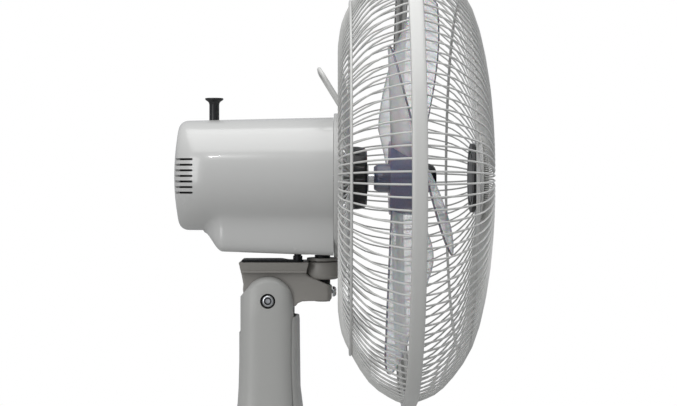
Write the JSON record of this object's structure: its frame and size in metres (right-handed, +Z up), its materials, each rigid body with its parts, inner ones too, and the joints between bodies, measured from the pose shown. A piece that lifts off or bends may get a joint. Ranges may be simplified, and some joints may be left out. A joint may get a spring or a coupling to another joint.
{
  "type": "pedestal fan",
  "caption": "Tall floor fan with a weighted round base, telescopic pole, push-button control box, tilting and oscillating motor head, wire guards and clear wide-blade fan.",
  "frame": {"origin": "on the floor, on the axis of the pole, which is also the centre of the round base", "axes": "+Z up the pole, -Y the way the fan blows, X across the fan; at rest the fan's own axis lies along Y at 0.9 m"},
  "size_m": [0.45, 0.4295, 1.125],
  "materials": {
    "grey_gloss_plastic": "glossy, moulded",
    "grey_plastic": "satin, moulded",
    "grey_painted_steel": "semi-gloss enamel",
    "black_plastic": "satin, moulded",
    "clear_blade_plastic": "clear, tinted lavender",
    "bright_steel": "plated",
    "lamination_steel": "stacked sheets",
    "copper_winding": "enamelled wire",
    "cast_aluminium": "as cast",
    "cast_iron": "painted, rough",
    "rubber": "matt",
    "bronze": "sintered",
    "white_nylon": "satin"
  },
  "bodies": {
    "base": {"base_cover": "grey_plastic", "base_weight": "cast_iron", "base_hand_nut": "black_plastic", "base_foot_1": "rubber", "base_foot_2": "rubber", "base_foot_3": "rubber", "base_foot_4": "rubber", "outer_tube": "grey_painted_steel", "tube_flange": "grey_plastic", "height_collar": "grey_plastic"},
    "lock_knob": {"height_lock_knob": "black_plastic"},
    "pole": {"inner_tube": "bright_steel", "control_box": "grey_plastic", "control_panel": "grey_plastic", "switch_block": "black_plastic", "timer_unit": "white_nylon", "motor_capacitor": "black_plastic", "cord_gland": "black_plastic", "neck_post": "grey_plastic", "neck_front_cover": "grey_plastic", "tilt_bolt": "bright_steel", "tilt_nut": "bright_steel"},
    "button_1": {"speed_button_1": "black_plastic"},
    "button_2": {"speed_button_2": "black_plastic"},
    "button_3": {"speed_button_3": "black_plastic"},
    "button_4": {"speed_button_4": "black_plastic"},
    "timer": {"timer_knob": "black_plastic"},
    "bracket": {"tilt_bracket": "grey_plastic", "bracket_screw": "bright_steel", "anchor_plate": "black_plastic", "swivel_washer": "black_plastic"},
    "link": {"oscillation_link": "bright_steel"},
    "head": {"motor_housing": "grey_gloss_plastic", "housing_front_cover": "grey_gloss_plastic", "stator_core": "lamination_steel", "winding_front": "copper_winding", "winding_rear": "copper_winding", "front_shield": "cast_aluminium", "rear_shield": "cast_aluminium", "front_bearing": "bronze", "rear_bearing": "bronze", "gearbox_case": "cast_aluminium", "gearbox_lid": "cast_aluminium", "swivel_pin": "cast_aluminium", "rear_guard": "grey_painted_steel", "front_guard": "grey_painted_steel", "guard_band": "grey_painted_steel", "band_screw": "bright_steel", "carry_handle": "grey_painted_steel", "guard_nut": "black_plastic", "badge_back": "black_plastic", "badge": "grey_gloss_plastic"},
    "rotor": {"rotor_core": "lamination_steel", "motor_shaft": "bright_steel", "worm": "bronze", "fan_blade": "clear_blade_plastic", "spinner_nut": "black_plastic"},
    "worm_gear": {"worm_wheel": "white_nylon"},
    "crank": {"crank_gear": "white_nylon"},
    "clutch_knob": {"oscillation_knob": "black_plastic"}
  },
  "joints": [
    {"name": "height_slide", "type": "slide", "parent": "base", "child": "pole", "axis": [0, 0, 1], "range_m": [0, 0.2]},
    {"name": "height_lock_turn", "type": "hinge", "parent": "base", "child": "lock_knob", "pos_m": [0, 0.03, 0.452], "axis": [0, 1, 0], "range_deg": [0, 180]},
    {"name": "tilt", "type": "hinge", "parent": "pole", "child": "bracket", "pos_m": [0, 0, 0.78], "axis": [1, 0, 0], "range_deg": [-25, 15]},
    {"name": "oscillation", "type": "hinge", "parent": "bracket", "child": "head", "pos_m": [0, -0.053, 0.8177], "axis": [0, 0, 1], "range_deg": [-40, 40]},
    {"name": "link_swing", "type": "hinge", "parent": "bracket", "child": "link", "pos_m": [-0.018, -0.029, 0.8485], "axis": [0, 0, 1], "range_deg": [-53, 53]},
    {"name": "fan_spin", "type": "hinge", "parent": "head", "child": "rotor", "pos_m": [0, 0, 0.9], "axis": [0, 1, 0], "continuous": true},
    {"name": "wheel_turn", "type": "hinge", "parent": "head", "child": "worm_gear", "pos_m": [0.018, 0.056, 0.9], "axis": [0, 0, 1], "continuous": true},
    {"name": "crank_turn", "type": "hinge", "parent": "head", "child": "crank", "pos_m": [-0.006, 0.032, 0.856], "axis": [0, 0, 1], "continuous": true},
    {"name": "clutch_pull", "type": "slide", "parent": "head", "child": "clutch_knob", "axis": [0, 0, 1], "range_m": [-0.008, 0]},
    {"name": "button_1_press", "type": "slide", "parent": "pole", "child": "button_1", "axis": [0, 1, 0], "range_m": [0, 0.004], "stiffness_N_per_m": 300},
    {"name": "button_2_press", "type": "slide", "parent": "pole", "child": "button_2", "axis": [0, 1, 0], "range_m": [0, 0.004], "stiffness_N_per_m": 300},
    {"name": "button_3_press", "type": "slide", "parent": "pole", "child": "button_3", "axis": [0, 1, 0], "range_m": [0, 0.004], "stiffness_N_per_m": 300},
    {"name": "button_4_press", "type": "slide", "parent": "pole", "child": "button_4", "axis": [0, 1, 0], "range_m": [0, 0.004], "stiffness_N_per_m": 300},
    {"name": "timer_turn", "type": "hinge", "parent": "pole", "child": "timer", "pos_m": [0, -0.048, 0.592], "axis": [0, 1, 0], "range_deg": [0, 300]}
  ],
  "couplings": [
    {"joint": "wheel_turn", "follows": "fan_spin", "ratio": 0.033333},
    {"joint": "crank_turn", "follows": "fan_spin", "ratio": -0.0056},
    {"joint": "link_swing", "follows": "oscillation", "ratio": 1.3}
  ]
}
